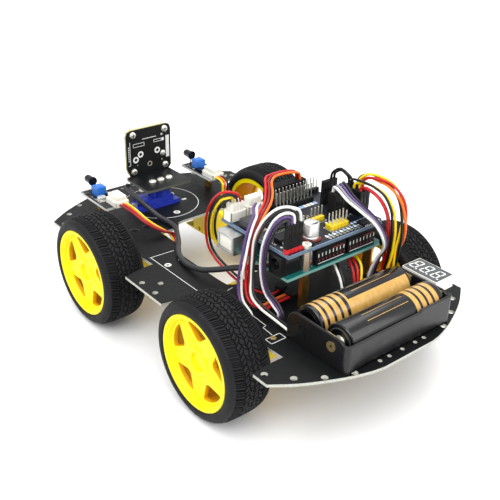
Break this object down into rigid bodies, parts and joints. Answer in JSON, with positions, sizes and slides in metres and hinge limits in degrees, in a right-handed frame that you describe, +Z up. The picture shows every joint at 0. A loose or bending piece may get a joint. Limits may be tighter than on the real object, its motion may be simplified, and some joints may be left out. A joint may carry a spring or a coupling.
{
  "type": "four-wheel robot car",
  "caption": "Four-wheel-drive robot car kit with a slotted chassis board, geared motors, battery holder, stacked controller boards, a panning ranging head and obstacle modules.",
  "frame": {"origin": "on the floor under the middle of the chassis board", "axes": "+X forward, +Y to the car's left, +Z up"},
  "size_m": [0.248, 0.154, 0.104],
  "materials": {
    "board_black": "matt solder-mask board",
    "screw_black": "black oxide",
    "yellow_plastic": "semi-gloss moulded",
    "motor_steel": "plated",
    "white_plastic": "moulded",
    "tyre_rubber": "matt rubber",
    "holder_black": "semi-gloss moulded",
    "cell_gold": "shrink sleeve, gold and black",
    "cell_black": "shrink sleeve, black with gold bands",
    "brass": "turned",
    "display_grey": "smoked face",
    "board_teal": "solder-mask board",
    "board_navy": "solder-mask board",
    "shell_steel": "bright plated",
    "part_black": "moulded",
    "pin_yellow": "moulded",
    "pin_red": "moulded",
    "can_alu": "bright",
    "button_red": "moulded",
    "servo_blue": "translucent moulded",
    "screw_steel": "nickel plated",
    "trimmer_blue": "moulded",
    "led_dark": "moulded resin",
    "lead_insulation": "coloured insulation",
    "cable_grey": "dull jacket"
  },
  "bodies": {
    "chassis": {"chassis_plate": "board_black", "motor_screws": "screw_black", "gearbox_outer": "yellow_plastic", "gearbox_inner": "yellow_plastic", "motor_cans": "motor_steel", "motor_caps": "white_plastic", "battery_holder": "holder_black", "cell_front": "cell_gold", "cell_rear": "cell_black", "battery_contacts": "brass", "display_socket": "part_black", "display_body": "white_plastic", "display_face": "display_grey", "brass_standoffs": "brass", "board_screws": "screw_steel", "controller_board": "board_teal", "usb_socket": "shell_steel", "dc_jack": "part_black", "board_chips": "part_black", "stack_headers": "part_black", "expansion_board": "board_navy", "headers_yellow": "pin_yellow", "headers_red": "pin_red", "headers_black": "part_black", "can_capacitors": "can_alu", "lead_sockets": "white_plastic", "jumper_housings": "part_black", "button_base": "shell_steel", "servo_case": "servo_blue", "servo_screws": "screw_steel", "ir_boards": "board_navy", "ir_trimmers": "trimmer_blue", "ir_leds": "led_dark", "leads_left": "lead_insulation", "leads_right": "lead_insulation", "leads_modules": "lead_insulation", "sensor_cable": "cable_grey"},
    "wheel_fl": {"tyre_fl": "tyre_rubber", "rim_fl": "yellow_plastic", "shaft_fl": "white_plastic"},
    "wheel_fr": {"tyre_fr": "tyre_rubber", "rim_fr": "yellow_plastic", "shaft_fr": "white_plastic"},
    "wheel_rl": {"tyre_rl": "tyre_rubber", "rim_rl": "yellow_plastic", "shaft_rl": "white_plastic"},
    "wheel_rr": {"tyre_rr": "tyre_rubber", "rim_rr": "yellow_plastic", "shaft_rr": "white_plastic"},
    "pan_head": {"servo_horn": "white_plastic", "pan_bracket": "board_black", "head_board": "board_black", "head_spacers": "brass", "sensor_board": "board_black", "sensor_cans": "can_alu", "head_screws": "screw_steel"},
    "trim_left": {"ir_rotor_left": "brass"},
    "trim_right": {"ir_rotor_right": "brass"},
    "reset": {"reset_button": "button_red"}
  },
  "joints": [
    {"name": "wheel_fl_spin", "type": "hinge", "parent": "chassis", "child": "wheel_fl", "pos_m": [0.055, 0.064, 0.0325], "axis": [0, 1, 0], "continuous": true},
    {"name": "wheel_fr_spin", "type": "hinge", "parent": "chassis", "child": "wheel_fr", "pos_m": [0.055, -0.064, 0.0325], "axis": [0, 1, 0], "continuous": true},
    {"name": "wheel_rl_spin", "type": "hinge", "parent": "chassis", "child": "wheel_rl", "pos_m": [-0.055, 0.064, 0.0325], "axis": [0, 1, 0], "continuous": true},
    {"name": "wheel_rr_spin", "type": "hinge", "parent": "chassis", "child": "wheel_rr", "pos_m": [-0.055, -0.064, 0.0325], "axis": [0, 1, 0], "continuous": true},
    {"name": "pan", "type": "hinge", "parent": "chassis", "child": "pan_head", "pos_m": [0.086, 0, 0.0555], "axis": [0, 0, 1], "range_deg": [-90, 90]},
    {"name": "trim_left_turn", "type": "hinge", "parent": "chassis", "child": "trim_left", "pos_m": [0.0977, 0.0383, 0.062], "axis": [0, 0, 1], "range_deg": [-130, 130]},
    {"name": "trim_right_turn", "type": "hinge", "parent": "chassis", "child": "trim_right", "pos_m": [0.0977, -0.0383, 0.062], "axis": [0, 0, 1], "range_deg": [-130, 130]},
    {"name": "reset_press", "type": "slide", "parent": "chassis", "child": "reset", "axis": [0, 0, -1], "range_m": [0, 0.0003], "stiffness_N_per_m": 600}
  ]
}
